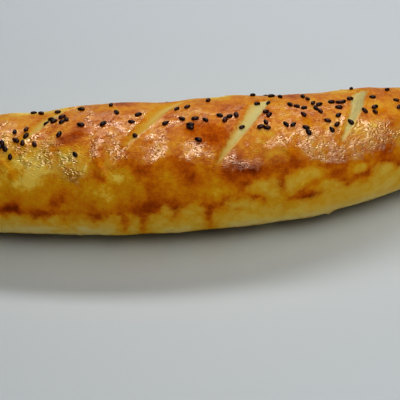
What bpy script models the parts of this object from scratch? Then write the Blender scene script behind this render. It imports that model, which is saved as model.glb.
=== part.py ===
"""Meat pastry roll, whole and uncut: a long hand-shaped roll of yeast dough round its filling.

It was slashed across the top before baking and strewn with black sesame seeds. It lies along X on its
flat base, bowed towards -Y, with +Z up. Lengths are metres, and angles round the roll are degrees from
its crest, positive towards +Y.
"""

import math
import random

import bmesh
import bpy
import numpy as np
from mathutils import Matrix, Vector
from mathutils.bvhtree import BVHTree

# The roll as it was shaped by hand.
LENGTH = 0.310
WIDTH = 0.0696
HEIGHT = 0.0585
BELLY = 0.42  # share of the height at which the roll is widest
BOW = 0.020  # how far the middle bends towards -Y
BOW_LEAN = 0.64  # moves the bend towards the +X end
END_POWER = 2.0  # taper of the width and the top towards the ends
END_ROOT = 3.05
FOOT_POWER = 7.0  # taper of the underside, which stays flat almost to the ends
FOOT_ROOT = 2.0
TOP_SQUARENESS = 2.3  # 2 is an ellipse and more is squarer
FOOT_SQUARENESS = 3.0
BASE_SINK = 0.0007  # how much of the underside is pressed flat by the baking tray

# Slashes: place on the crest, angle of the near end, angle of the far end, half opening along X, and
# share of the way from near to far at which the slash is widest.
SLASHES = [
    (-0.1190, -22, 32, 0.0030, 0.62),
    (-0.0700, -19, 30, 0.0038, 0.50),
    (-0.0146, -27, 34, 0.0048, 0.78),
    (0.0358, -48, 18, 0.0052, 0.86),
    (0.0903, -42, 24, 0.0044, 0.78),
    (0.1340, -25, 14, 0.0024, 0.60),
]
SLASH_SLANT = 0.030  # how far a slash runs along X by the time it is a quarter turn round
SLASH_DEPTH = 0.0009
NEAR_POINTEDNESS = 0.62
FAR_POINTEDNESS = 0.30
FAR_LIP = 0.0005
NEAR_LIP = 0.0002

# The dough rose into soft swells between the slashes, and is uneven all over: wave length along X, whole
# turns round the roll, phase, and height.
SWELL = 0.00035
SWELL_STEP = 0.052
SWELL_DIP = -0.015
WAVES = [
    (0.031, 2, 0.3, 0.00016),
    (0.047, 1, 1.9, 0.00012),
    (0.023, 3, 4.0, 0.00009),
    (0.073, 2, 5.2, 0.00018),
]

# Where it rose or sank more: place along X, angle, half length, half width and height.
RISES = [
    (-0.0920, 34, 0.0130, 0.0125, 0.0009),
    (-0.0700, 34, 0.0120, 0.0125, -0.0008),
    (-0.0480, 34, 0.0120, 0.0125, 0.0011),
    (-0.0280, 34, 0.0120, 0.0125, 0.0008),
    (-0.0060, 34, 0.0110, 0.0125, -0.0003),
    (0.0100, 34, 0.0090, 0.0125, 0.0008),
    (0.0260, 34, 0.0090, 0.0125, 0.0008),
    (0.0420, 34, 0.0090, 0.0125, 0.0005),
    (0.0600, 34, 0.0100, 0.0125, 0.0003),
    (0.0780, 34, 0.0090, 0.0125, -0.0007),
    (0.1080, 34, 0.0100, 0.0125, 0.0016),
    (-0.0680, -120, 0.0140, 0.0090, -0.0007),
    (0.0130, -120, 0.0180, 0.0090, -0.0010),
    (0.0840, -118, 0.0160, 0.0090, -0.0010),
    (-0.1120, 60, 0.0120, 0.0120, 0.0006),
    (0.0050, 78, 0.0160, 0.0120, 0.0008),
    (0.0660, 80, 0.0130, 0.0110, 0.0009),
]

# Folds in the skin: start, end (place along X, angle), how far the line bows, and height.
FOLDS = [
    ((0.0428, -23), (0.0500, -49), 0.0015, 0.0006),
    ((-0.0377, -10), (-0.0375, -52), 0.0034, 0.0006),
    ((-0.0860, -36), (-0.0790, -66), -0.0020, 0.0004),
    ((0.0930, 38), (0.0850, 66), 0.0020, 0.0005),
    ((-0.0250, 52), (-0.0330, 80), 0.0022, 0.0005),
]
FOLD_WIDTH = 0.0016

# Drips of egg wash that baked hard low on the near side, given like the rises.
DRIPS = [
    (0.0685, -119, 0.0020, 0.0020, 0.0010),
    (0.0790, -112, 0.0013, 0.0013, 0.0006),
    (-0.0520, -121, 0.0022, 0.0022, 0.0005),
]

# The ends were pinched shut and tucked under, which left pleats.
PLEAT_DEPTH = 0.0009
PLEATS = 9
PLEAT_FROM = 0.80  # share of the half length at which the pleats start

# Rings of points run round the roll. Near a slash they follow its edges and floor, and round the
# underside they are evenly spaced.
AROUND = 40
SLASH_LINES = (-1.35, -1.0, -0.55, 0.0, 0.55, 1.0, 1.35)
LEAST_LINE_WIDTH = 0.0017
LINE_STEPS = (0.0046, 0.0052, 0.0052, 0.0052, 0.0052, 0.0024)
LINES_BETWEEN = 3
CAP_LINES = (0.16, 0.38, 0.60, 0.82)
SLASH_FADE = 30  # degrees beyond a slash over which the rings spread out again

# Sesame seeds that show from the front: millimetres along X, degrees round the roll, heading in degrees.
SEEDS = [
    (-86.8, -20, 110), (-85.8, -17, 105), (-84.2, -23, 115), (-81.2, -32, 95), (-80.9, -5, 95),
    (-79.5, -15, 150), (-76.0, -18, 95), (-75.5, -3, 75), (-75.3, -9, 70), (-75.2, 25, 25),
    (-71.2, 22, 135), (-70.2, -20, 110), (-66.2, 2, 5), (-64.7, 8, 150), (-62.7, 3, 30),
    (-62.5, 20, 25), (-58.9, 7, 30), (-58.6, -12, 70), (-58.3, 1, 40), (-56.5, 3, 115),
    (-50.3, 17, 155), (-50.3, -33, 125), (-48.9, -4, 160), (-38.0, -4, 45), (-35.4, 21, 80),
    (-32.2, 7, 120), (-24.6, -3, 170), (-22.7, -17, 120), (-21.4, 4, 25), (-8.2, -6, 30),
    (-2.2, 9, 40), (-0.3, -3, 145), (3.1, 10, 30), (3.2, -13, 160), (3.4, -10, 175),
    (6.1, -4, 10), (6.4, -25, 155), (10.8, -6, 140), (14.3, 19, 65), (18.1, -2, 160),
    (20.4, -6, 60), (23.0, -3, 20), (26.3, -2, 90), (27.8, -14, 25), (36.5, -17, 5),
    (38.7, 10, 20), (39.1, 29, 40), (39.2, -19, 170), (39.3, -13, 105), (41.0, -2, 15),
    (42.2, -5, 45), (44.9, 10, 65), (48.5, -17, 115), (48.9, 26, 10), (51.9, -18, 25),
    (53.0, 22, 105), (54.9, 4, 115), (57.5, -22, 155), (57.7, 1, 145), (58.1, -27, 105),
    (58.9, -8, 115), (60.9, -1, 0), (64.3, 16, 90), (65.6, 10, 105), (66.5, -2, 90),
    (66.9, 3, 40), (67.9, -6, 110), (69.4, -17, 155), (69.6, 1, 15), (69.8, -27, 115),
    (73.4, -22, 30), (76.3, -12, 25), (76.9, 3, 0), (78.8, -3, 170), (80.7, 2, 160),
    (81.0, -21, 115), (83.0, 2, 15), (87.9, 5, 5), (90.5, -11, 120), (95.2, -15, 110),
    (96.0, 30, 60), (96.9, -9, 10), (100.1, 3, 155), (109.1, -14, 35), (111.0, -4, 155),
]
# The rest fell at random in pinches: place along X, angle, spread along X, spread in degrees, count.
PINCHES = [
    (-0.140, 2, 0.005, 11, 3),
    (-0.124, -4, 0.006, 13, 7),
    (-0.108, -8, 0.005, 11, 8),
    (-0.107, 12, 0.004, 9, 5),
    (0.120, -8, 0.004, 9, 5),
    (0.131, 2, 0.005, 11, 6),
    (0.143, 3, 0.003, 10, 2),
    (-0.045, 56, 0.025, 5, 4),
    (0.020, 56, 0.025, 5, 4),
    (0.080, 58, 0.018, 5, 4),
]
SEED_LENGTH = 0.0036
SEED_WIDTH = 0.0025
SEED_HEIGHT = 0.0019
SEED_SIZE_RANGE = 0.12
SEED_SUNK = 0.33  # share of a seed's height that lies in the crust
SEED_POINT = 0.27  # how much narrower one end of a seed is
SEED_SEGMENTS = 6
SEED_RINGS = 3
PINCH_SEED = 27

CRUST_COLOUR = (0.47, 0.19, 0.028, 1.0)
CRUST_ROUGHNESS = 0.38


def smooth_step(low, high, value):
    share = np.clip((value - low) / (high - low), 0.0, 1.0)
    return share * share * (3.0 - 2.0 * share)


def signed_power(value, power):
    return np.sign(value) * np.abs(value) ** power


def smooth_roll(x, angle):
    """Points of the roll without its relief, at places x along it and angles in radians round it."""
    u = np.clip(x / (LENGTH / 2), -1.0, 1.0)
    taper = (1 - np.abs(u) ** END_POWER) ** (1 / END_ROOT)
    foot = (1 - np.abs(u) ** FOOT_POWER) ** (1 / FOOT_ROOT)
    middle = -BOW * (1 - u**2) * (1 + BOW_LEAN * u)
    slope = BOW * (2 * u * (1 + BOW_LEAN * u) - BOW_LEAN * (1 - u**2)) / (LENGTH / 2)
    sideways = WIDTH / 2 * taper * signed_power(np.sin(angle), 2 / TOP_SQUARENESS)
    above = np.maximum(np.cos(angle), 0.0) ** (2 / TOP_SQUARENESS)
    below = np.maximum(-np.cos(angle), 0.0) ** (2 / FOOT_SQUARENESS)
    belly = BELLY * HEIGHT
    length_of_normal = np.sqrt(1 + slope**2)
    return np.stack(
        [
            u * LENGTH / 2 - slope / length_of_normal * sideways,
            middle + sideways / length_of_normal,
            belly + (HEIGHT - belly) * taper * above - belly * foot * below,
        ],
        axis=-1,
    )


def outward(x, angle):
    """Unit vectors that point out of the smooth roll."""
    step = 1e-4
    along = smooth_roll(x + step * LENGTH, angle) - smooth_roll(x - step * LENGTH, angle)
    round_it = smooth_roll(x, angle + step * 30) - smooth_roll(x, angle - step * 30)
    normal = np.cross(along, round_it)
    return normal / np.maximum(np.linalg.norm(normal, axis=-1, keepdims=True), 1e-12)


def slant(crest, angle):
    """How far along X a slash that crosses the crest at crest lies at this angle."""
    fade = 1 - (crest / (LENGTH / 2)) ** 4
    return SLASH_SLANT * fade * np.sin(angle) * (1 - 0.5 * smooth_step(1.0, 2.6, np.abs(angle)))


def opening(slash, angle):
    """Half the opening of a slash along X at this angle, and 0 beyond its ends."""
    crest, near, far, half, widest = slash
    share = np.clip((np.degrees(angle) - near) / (far - near), 0.0, 1.0)
    rise = np.minimum(share / widest, 1.0) ** NEAR_POINTEDNESS
    fall = np.minimum((1 - share) / (1 - widest), 1.0) ** FAR_POINTEDNESS
    return half * rise * fall


def slash_relief(x, angle):
    height = np.zeros_like(x)
    for slash in SLASHES:
        crest, half = slash[0], slash[3]
        gap = opening(slash, angle)
        across = (x - crest - slant(crest, angle)) / np.maximum(gap, 1e-5)
        strength = np.clip(gap / half, 0.0, 1.0) ** 0.6
        floor = np.maximum(1 - across**2, 0.0)
        far_lip = np.exp(-(((across - 1.25) / 0.28) ** 2))
        near_lip = np.exp(-(((across + 1.3) / 0.35) ** 2))
        height += strength * (FAR_LIP * far_lip + NEAR_LIP * near_lip - SLASH_DEPTH * floor)
    return height


def fold_relief(x, angle):
    """A low ridge with a crease beside it along each fold."""
    height = np.zeros_like(x)
    radius = WIDTH / 2
    for start, end, bow, tall in FOLDS:
        ax, ay = start[0], math.radians(start[1]) * radius
        bx, by = end[0], math.radians(end[1]) * radius
        size = math.hypot(bx - ax, by - ay)
        tx, ty = (bx - ax) / size, (by - ay) / size
        along = ((x - ax) * tx + (angle * radius - ay) * ty) / size
        sag = bow * 4 * along * (1 - along)
        across = (x - ax) * ty - (angle * radius - ay) * tx - sag
        window = smooth_step(-0.25, 0.2, along) * (1 - smooth_step(0.8, 1.25, along))
        ridge = np.exp(-((across / FOLD_WIDTH) ** 2))
        crease = np.exp(-(((across + 1.6 * FOLD_WIDTH) / FOLD_WIDTH) ** 2))
        height += tall * window * (0.8 * ridge - 0.3 * crease)
    return height


def patches(x, angle, rows):
    """Sum of soft round patches: each row gives place, angle, half length, half width and height."""
    total = np.zeros_like(x)
    for place, where, half_length, half_width, tall in rows:
        along = (x - place) / half_length
        across = (angle - math.radians(where)) * (WIDTH / 2) / half_width
        total += tall * np.exp(-(along**2 + across**2))
    return total


def relief(x, angle):
    """Height of the crust over the smooth roll."""
    u = np.abs(x) / (LENGTH / 2)
    top = np.maximum(np.cos(angle), 0.0) ** 0.5
    level = x - SLASH_SLANT * np.sin(angle)
    height = -SWELL * top * np.cos(2 * math.pi * (level - SWELL_DIP) / SWELL_STEP)
    for wave, turns, phase, tall in WAVES:
        height += tall * np.sin(2 * math.pi * x / wave + turns * angle + phase)
    lower = smooth_step(-0.1, 0.7, -np.cos(angle)) * 0.6 + 0.4
    pleat = smooth_step(PLEAT_FROM, 0.96, u) * lower
    height += PLEAT_DEPTH * pleat * np.cos(PLEATS * angle + 40 * x)
    height += patches(x, angle, RISES + DRIPS) + fold_relief(x, angle) + slash_relief(x, angle)
    return height * (1 - smooth_step(0.97, 1.0, u))


def crust(x, angle):
    """Points of the baked crust. The tray kept the underside flat, at z = 0."""
    points = smooth_roll(x, angle) + outward(x, angle) * relief(x, angle)[..., None]
    points[..., 2] = np.maximum(points[..., 2] - BASE_SINK, 0.0)
    return points


def ring_places(angle):
    """Places along X of every ring of points at this angle, from the -X end to the +X end."""
    places = []
    for slash, step in zip(SLASHES, LINE_STEPS):
        crest, near, far = slash[:3]
        beyond = max(near - math.degrees(angle), math.degrees(angle) - far, 0.0)
        spread = smooth_step(0.0, SLASH_FADE, beyond)
        half = max(opening(slash, angle), LEAST_LINE_WIDTH)
        centre = crest + slant(crest, angle)
        lines = []
        for i, line in enumerate(SLASH_LINES):
            even = step * (i - len(SLASH_LINES) // 2)
            lines.append(centre + (1 - spread) * line * half + spread * even)
        if places:
            last = places[-1]
            for i in range(LINES_BETWEEN):
                share = (i + 1) / (LINES_BETWEEN + 1)
                places.append(last + (lines[0] - last) * share)
        places += lines

    def cap(first):
        """Rings between the place first and the end of the roll, evenly spaced over its round end."""
        taper = (1 - (first / (LENGTH / 2)) ** END_POWER) ** (1 / END_ROOT)
        shares = [(1 - (taper * line) ** END_ROOT) ** (1 / END_POWER) for line in CAP_LINES]
        return [math.copysign(LENGTH / 2 * share, first) for share in shares]

    return cap(places[0]) + places + cap(places[-1])[::-1]


def roll_mesh():
    rings = len(ring_places(0.0))
    mesh = bmesh.new()
    bmesh.ops.create_uvsphere(mesh, u_segments=AROUND, v_segments=rings + 1, radius=1.0)
    columns = [np.array(ring_places(signed_angle(i))) for i in range(AROUND)]
    for vert in mesh.verts:
        ring = round(math.acos(max(-1.0, min(1.0, -vert.co.z))) / math.pi * (rings + 1))
        column = round(math.atan2(vert.co.y, vert.co.x) / (2 * math.pi) * AROUND) % AROUND
        if ring == 0:
            place = -LENGTH / 2
        elif ring == rings + 1:
            place = LENGTH / 2
        else:
            place = columns[column][ring - 1]
        vert.co = Vector(crust(np.array([place]), np.array([signed_angle(column)]))[0])
    bmesh.ops.recalc_face_normals(mesh, faces=mesh.faces)
    return mesh


def signed_angle(column):
    """Angle in radians of a column of points, between half a turn back and half a turn on."""
    angle = 2 * math.pi * column / AROUND
    return angle - 2 * math.pi if angle > math.pi else angle


def seed_places():
    """Place, angle, heading and size of every sesame seed, in the order in which they fell."""
    chance = random.Random(PINCH_SEED)
    places = []
    for along_mm, where, heading in SEEDS:
        size = 1 + chance.uniform(-SEED_SIZE_RANGE, SEED_SIZE_RANGE)
        places.append((along_mm / 1000, math.radians(where), math.radians(heading), size))
    for place, where, spread, turn, count in PINCHES:
        for _ in range(count):
            x = place + chance.gauss(0, spread)
            angle = math.radians(where + chance.gauss(0, turn))
            heading = chance.uniform(0, 2 * math.pi)
            size = 1 + chance.uniform(-SEED_SIZE_RANGE, SEED_SIZE_RANGE)
            places.append((x, angle, heading, size))
    return places


def seed_frames(roll):
    """Frames of the seeds: each lies on the faces of the roll."""
    faces = BVHTree.FromObject(roll, bpy.context.evaluated_depsgraph_get())
    frames = []
    for seed_x, seed_angle, heading, size in seed_places():
        x, angle = np.array([seed_x]), np.array([seed_angle])
        step = 0.0012
        along = crust(x + step, angle)[0] - crust(x - step, angle)[0]
        turned = step / (WIDTH / 2)
        round_it = crust(x, angle + turned)[0] - crust(x, angle - turned)[0]
        up = Vector(np.cross(along, round_it)).normalized()
        forward = (Matrix.Rotation(heading, 3, up) @ Vector(along)).normalized()
        side = up.cross(forward).normalized()
        top = Vector(crust(x, angle)[0]) + up * SEED_LENGTH
        hit = faces.ray_cast(top, -up)[0]
        centre = hit + up * SEED_HEIGHT * (0.5 - SEED_SUNK)
        turn_to = Matrix((forward, side, up)).transposed().to_4x4()
        frames.append(Matrix.Translation(centre) @ turn_to @ Matrix.Scale(size, 4))
    return frames


def seed_mesh(frame):
    """One seed: a flat drop, narrower at one end."""
    mesh = bmesh.new()
    bmesh.ops.create_uvsphere(mesh, u_segments=SEED_SEGMENTS, v_segments=SEED_RINGS, radius=0.5)
    for vert in mesh.verts:
        narrow = 1 - SEED_POINT * (vert.co.z + 0.5)
        x, y, z = vert.co.z, vert.co.x * narrow, vert.co.y * narrow
        vert.co = frame @ Vector((x * SEED_LENGTH, y * SEED_WIDTH, z * SEED_HEIGHT))
    bmesh.ops.recalc_face_normals(mesh, faces=mesh.faces)
    return mesh


def finished(name, mesh, collection):
    data = bpy.data.meshes.new(name)
    mesh.to_mesh(data)
    mesh.free()
    body = bpy.data.objects.new(name, data)
    collection.objects.link(body)
    return body


def material(name, colour, roughness):
    made = bpy.data.materials.new(name)
    made.use_nodes = True
    shader = made.node_tree.nodes["Principled BSDF"]
    shader.inputs["Base Color"].default_value = colour
    shader.inputs["Roughness"].default_value = roughness
    shader.inputs["Metallic"].default_value = 0.0
    return made


for old in list(bpy.data.objects):
    bpy.data.objects.remove(old, do_unlink=True)

scene = bpy.context.scene
roll = finished("pastry_roll", roll_mesh(), scene.collection)

# The seeds are baked into the crust, so they and the roll are one solid.
seeds = bpy.data.collections.new("seeds")
scene.collection.children.link(seeds)
for frame in seed_frames(roll):
    finished("seed", seed_mesh(frame), seeds)

union = roll.modifiers.new("seeds on the crust", "BOOLEAN")
union.operation = "UNION"
union.operand_type = "COLLECTION"
union.collection = seeds
union.solver = "EXACT"
bpy.context.view_layer.objects.active = roll
with bpy.context.temp_override(object=roll, active_object=roll, selected_objects=[roll]):
    bpy.ops.object.modifier_apply(modifier=union.name)
for seed in list(seeds.objects):
    bpy.data.objects.remove(seed, do_unlink=True)
bpy.data.collections.remove(seeds)

# The origin is under the middle of the roll's box.
corners = np.array([vert.co for vert in roll.data.vertices])
low, high = corners.min(axis=0), corners.max(axis=0)
middle = Vector(((low[0] + high[0]) / 2, (low[1] + high[1]) / 2, low[2]))
roll.data.transform(Matrix.Translation(-middle))
roll.data.materials.clear()
roll.data.materials.append(material("baked_crust", CRUST_COLOUR, CRUST_ROUGHNESS))
for polygon in roll.data.polygons:
    polygon.use_smooth = True
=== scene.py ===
"""A meat pastry roll: egg-washed yeast dough round its filling, slashed and strewn with black sesame.

Lengths are metres. Places on the roll are given by x, along it, and by an angle round it from its crest,
negative on the near side.
"""

import math
import random

import bmesh
import bpy
import numpy as np
from mathutils import Matrix, Quaternion, Vector, noise
from mathutils.bvhtree import BVHTree


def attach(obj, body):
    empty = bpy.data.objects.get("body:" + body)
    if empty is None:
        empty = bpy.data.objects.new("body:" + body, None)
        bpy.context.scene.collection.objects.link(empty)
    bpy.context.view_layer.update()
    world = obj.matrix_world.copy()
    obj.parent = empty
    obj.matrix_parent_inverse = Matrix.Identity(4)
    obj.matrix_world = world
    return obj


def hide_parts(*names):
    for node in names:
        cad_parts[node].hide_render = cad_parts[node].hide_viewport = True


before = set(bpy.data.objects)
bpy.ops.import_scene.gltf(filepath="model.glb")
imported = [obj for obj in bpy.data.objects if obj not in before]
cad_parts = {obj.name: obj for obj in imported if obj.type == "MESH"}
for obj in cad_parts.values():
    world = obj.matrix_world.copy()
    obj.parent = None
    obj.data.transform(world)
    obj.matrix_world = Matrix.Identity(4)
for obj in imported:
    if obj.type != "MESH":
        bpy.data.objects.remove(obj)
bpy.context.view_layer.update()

# The roll is one long piece of yeast dough, rolled up round its filling by hand and left a little bowed.
# It was slashed with a blade, brushed with egg and baked on its flat underside. Its skin has soft swells
# between the slashes, folds, and a crumpled glaze.
LENGTH = 0.310
WIDTH = 0.0696
HEIGHT = 0.0585
BELLY = 0.42
BOW = 0.020
BOW_LEAN = 0.64
END_POWER = 2.0
END_ROOT = 3.05
FOOT_POWER = 7.0
FOOT_ROOT = 2.0
TOP_SQUARENESS = 2.3
FOOT_SQUARENESS = 3.0
BASE_SINK = 0.0007
OFF_CENTRE = Vector((0.000990, -0.016828, 0.0))  # middle of the roll's box, from where its bow starts
RADIUS = WIDTH / 2
DEGREE = math.radians(RADIUS)  # how far one degree is, round the roll

# Slashes: place on the crest, angle of the near end, angle of the far end, half opening along X, share of
# the way from near to far at which the slash is widest, and how golden its floor baked; below 0 the floor is
# painted shade instead.
SLASHES = [
    (-0.1190, -22, 32, 0.0030, 0.62, 0.4),
    (-0.0700, -19, 30, 0.0038, 0.50, 0.35),
    (-0.0146, -27, 34, 0.0048, 0.78, 0.60),
    (0.0358, -48, 18, 0.0052, 0.86, 0.0),
    # This slash's floor is set below plain dough: painted shade, darker and greyer than the other floors.
    (0.0903, -42, 24, 0.0044, 0.78, -0.40),
    (0.1340, -25, 14, 0.0024, 0.60, 0.4),
]
SLASH_SLANT = 0.030
SLANT_EASING = 0.5  # share of the slant that is lost between the next two angles, in radians
SLANT_EASES_FROM = 1.0
SLANT_EASES_TO = 2.6
SLASH_DEPTH = 0.0009
SLASH_SHALLOWING = 0.6
LEAST_GAP = 1e-5
NEAR_POINTEDNESS = 0.62
FAR_POINTEDNESS = 0.30
# Lips along the edges of a slash. Their places and widths are in half openings from its middle.
FAR_LIP = 0.0005
FAR_LIP_PLACE = 1.25
FAR_LIP_WIDTH = 0.28
NEAR_LIP = 0.0002
NEAR_LIP_PLACE = -1.3
NEAR_LIP_WIDTH = 0.35

# Soft swells between the slashes, and waves all over: wave length along X, whole turns round the roll,
# phase and height.
SWELL = 0.00035
SWELL_STEP = 0.052
SWELL_DIP = -0.015
WAVES = [
    (0.031, 2, 0.3, 0.00016),
    (0.047, 1, 1.9, 0.00012),
    (0.023, 3, 4.0, 0.00009),
    (0.073, 2, 5.2, 0.00018),
]
# Where the crest rose or sank: place, angle, half length, half width and height.
RISES = [
    (-0.0920, 34, 0.0130, 0.0125, 0.0009),
    (-0.0700, 34, 0.0120, 0.0125, -0.0008),
    (-0.0480, 34, 0.0120, 0.0125, 0.0011),
    (-0.0280, 34, 0.0120, 0.0125, 0.0008),
    (-0.0060, 34, 0.0110, 0.0125, -0.0003),
    (0.0100, 34, 0.0090, 0.0125, 0.0008),
    (0.0260, 34, 0.0090, 0.0125, 0.0008),
    (0.0420, 34, 0.0090, 0.0125, 0.0005),
    (0.0600, 34, 0.0100, 0.0125, 0.0003),
    (0.0780, 34, 0.0090, 0.0125, -0.0007),
    (0.1080, 34, 0.0100, 0.0125, 0.0016),
    (-0.0680, -120, 0.0140, 0.0090, -0.0007),
    (0.0130, -120, 0.0180, 0.0090, -0.0010),
    (0.0840, -118, 0.0160, 0.0090, -0.0010),
    (-0.1120, 60, 0.0120, 0.0120, 0.0006),
    (0.0050, 78, 0.0160, 0.0120, 0.0008),
    (0.0660, 80, 0.0130, 0.0110, 0.0009),
]
# Folds in the skin: start, end (place, angle), how far the line bows, and height.
FOLDS = [
    ((0.0428, -23), (0.0500, -49), 0.0015, 0.0006),
    ((-0.0377, -10), (-0.0375, -52), 0.0034, 0.0006),
    ((-0.0860, -36), (-0.0790, -66), -0.0020, 0.0004),
    ((0.0930, 38), (0.0850, 66), 0.0020, 0.0005),
    ((-0.0250, 52), (-0.0330, 80), 0.0022, 0.0005),
]
FOLD_WIDTH = 0.0016
FOLD_STARTS = (-0.25, 0.2)  # share of the way along a fold over which it rises
FOLD_ENDS = (0.8, 1.25)
RIDGE_SHARE = 0.8
CREASE_SHARE = 0.3
CREASE_AWAY = 1.6  # fold widths from the ridge to the crease
# The ends were pinched shut and tucked under, which left pleats. They begin and are deepest at these shares
# of the half length.
PLEAT_DEPTH = 0.0009
PLEATS = 9
PLEAT_FROM = 0.80
PLEAT_TO = 0.96
PLEAT_TWIST = 40
PLEAT_ON_TOP = 0.4  # share of the depth that is left on top
PLEAT_LEVELS = (-0.1, 0.7)  # they deepen downwards between these, where the crest is -1 and the underside 1
SMOOTH_TIP_FROM = 0.97

# Drips of egg that baked hard low on the near side: place, angle, half length, half width and height.
DRIPS = [
    (0.0685, -119, 0.0020, 0.0020, 0.0010),
    (0.0790, -112, 0.0013, 0.0013, 0.0006),
    (-0.0520, -121, 0.0022, 0.0022, 0.0005),
]

# Rings run round the roll on the slant of the slashes, closest together at the slashes. The points round
# each ring are closer together on top than underneath.
RINGS = 408
AROUND = 240
TOP_CROWDING = 0.30
SLASH_CROWDING = 0.9
SLASH_MARGIN = 0.0015
MEASURED_PLACES = 4001  # where the length of the skin is measured, to space the rings

# Where the glaze crumpled as it dried: place, angle, half length, half width and depth of each patch.
CRUMPLES = [
    (-0.064, -28, 0.007, 0.007, 1.0),
    (-0.058, -38, 0.007, 0.007, 1.0),
    (-0.051, -50, 0.005, 0.008, 0.8),
    (-0.042, -28, 0.003, 0.010, 0.9),
    (-0.031, -33, 0.006, 0.009, 1.0),
    (-0.028, -8, 0.004, 0.006, 0.5),
    (-0.041, -4, 0.007, 0.006, 1.0),
    (-0.036, -16, 0.005, 0.005, 0.6),
    (-0.046, 6, 0.006, 0.006, 0.7),
    (-0.020, 6, 0.006, 0.005, 0.6),
    (-0.037, 3, 0.004, 0.004, 0.8),
    (-0.013, -36, 0.006, 0.009, 1.0),
    (-0.014, -19, 0.005, 0.004, 0.6),
    (0.004, -39, 0.006, 0.004, 0.9),
    (0.009, -33, 0.006, 0.004, 0.9),
    (0.021, -45, 0.006, 0.005, 0.9),
    (0.030, -49, 0.006, 0.005, 0.5),
    (0.031, -31, 0.005, 0.005, 0.4),
    (0.038, -36, 0.006, 0.006, 0.5),
    (0.047, -32, 0.005, 0.009, 0.7),
    (0.051, -3, 0.007, 0.006, 0.45),
    (0.062, -8, 0.006, 0.006, 0.35),
    (-0.053, 22, 0.008, 0.006, 0.8),
    (0.003, -29, 0.005, 0.004, 0.6),
    (0.027, 5, 0.006, 0.004, 0.5),
    (0.036, -7, 0.005, 0.004, 0.55),
    (0.045, 10, 0.006, 0.004, 0.45),
    (-0.064, 6, 0.006, 0.005, 0.5),
    (0.093, 6, 0.006, 0.004, 0.5),
    (0.008, 2, 0.008, 0.004, 0.6),
    (0.057, -36, 0.008, 0.006, 0.9),
    (0.063, -47, 0.008, 0.006, 1.0),
    (0.072, -51, 0.008, 0.006, 1.0),
    (0.086, -34, 0.008, 0.008, 0.9),
    (0.090, -49, 0.010, 0.007, 1.0),
    (-0.076, -36, 0.004, 0.005, 0.5),
    (-0.086, -12, 0.006, 0.008, 0.7),
    (-0.088, 4, 0.006, 0.006, 0.8),
    (-0.070, -34, 0.006, 0.006, 1.0),
    (-0.072, -12, 0.006, 0.005, 0.8),
    (-0.081, -21, 0.006, 0.006, 0.9),
    (-0.024, -8, 0.012, 0.006, 0.7),
    (-0.003, -5, 0.006, 0.005, 0.8),
    (0.057, -26, 0.005, 0.006, 0.7),
    (0.069, -52, 0.008, 0.003, 0.8),
    (0.075, -28, 0.008, 0.007, 0.8),
    (0.074, 1, 0.004, 0.004, 0.6),
    (0.082, -14, 0.006, 0.005, 0.5),
    (0.098, -36, 0.008, 0.007, 1.0),
    (0.110, -45, 0.008, 0.009, 1.0),
    (-0.112, -20, 0.012, 0.014, 0.8),
    (0.135, -30, 0.010, 0.012, 0.7),
    (-0.050, 50, 0.014, 0.010, 0.7),
    (0.012, 46, 0.012, 0.009, 0.9),
    (0.070, 52, 0.014, 0.010, 0.8),
]
# Where it dried smooth and dull.
DULL = [
    (0.015, -20, 0.0070, 0.0080, 1.0),
    (0.004, -14, 0.0050, 0.0050, 0.8),
    (0.047, -46, 0.0040, 0.0040, 0.8),
    (0.036, -34, 0.0080, 0.0060, 0.5),
    (0.003, -50, 0.0080, 0.0040, 0.9),
    (0.060, -14, 0.0030, 0.0040, 0.8),
    (0.098, -14, 0.0060, 0.0040, 0.8),
    (-0.012, -48, 0.0060, 0.0040, 1.0),
    (-0.026, -44, 0.0070, 0.0050, 1.0),
    (-0.041, -41, 0.0050, 0.0060, 0.9),
    (-0.006, -43, 0.0060, 0.0035, 0.8),
    (-0.050, -14, 0.0040, 0.0040, 0.7),
    (-0.080, -42, 0.0060, 0.0080, 0.8),
]
# It all dried dull low on the sides, between these angles.
DULL_FROM = 44
DULL_TO = 62
CRUMPLE_SIZE = 0.0022
CRUMPLE_HEIGHT = 0.00030
CRUMPLE_EVENNESS = 0.6
CRUMPLE_PATCHINESS = 0.8
LEAST_CRUMPLING = 0.25  # share of the height that is left where the glaze is smooth
CRUMPLES_TO = 120  # degrees down the sides
UNEVENNESS = 0.00012

# The egg was brushed down to this line on the near side: place along X and angle. The far side has a line
# of its own, which is more ragged.
WASH_LINE = [
    (-0.155, -80), (-0.100, -88), (-0.050, -90), (0.012, -89),
    (0.045, -89), (0.062, -87), (0.080, -83), (0.155, -76),
]
FAR_WASH_LINE = [(-0.155, 78), (-0.090, 84), (-0.030, 79), (0.040, 86), (0.100, 80), (0.155, 76)]
RAGGEDNESS = 0.0012
FAR_RAGGEDNESS = 3.0
# Round both tips the line is level instead.
TIP_LINE_FROM = 0.140
TIP_LINE_TO = 0.152
TIP_LINE_RISE = 0.002
TIP_RAGGEDNESS = 3.0

# Runs of egg below the line: place along X, half width, angle that it reaches.
RUNS = [
    (-0.0870, 0.0040, -91),
    (-0.0700, 0.0060, -91),
    (-0.0580, 0.0022, -99),
    (-0.0420, 0.0050, -92),
    (-0.0300, 0.0026, -111),
    (-0.0212, 0.0026, -128),
    (-0.0065, 0.0022, -91),
    (0.0095, 0.0025, -127),
    (0.0310, 0.0045, -85),
    (0.0437, 0.0013, -92),
    (0.0550, 0.0042, -88),
    (0.0680, 0.0040, -79),
    (0.0820, 0.0050, -85),
    (-0.1050, 0.0030, -104),
    (-0.1230, 0.0045, -93),
    (0.1080, 0.0045, -88),
    (0.1250, 0.0030, -96),
    (-0.1100, 0.0040, 96),
    (-0.0720, 0.0030, 112),
    (-0.0450, 0.0050, 90),
    (-0.0080, 0.0026, 124),
    (0.0180, 0.0045, 94),
    (0.0560, 0.0028, 108),
    (0.0900, 0.0045, 92),
    (0.1220, 0.0030, 101),
]
RUN_TOP = 70
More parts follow.
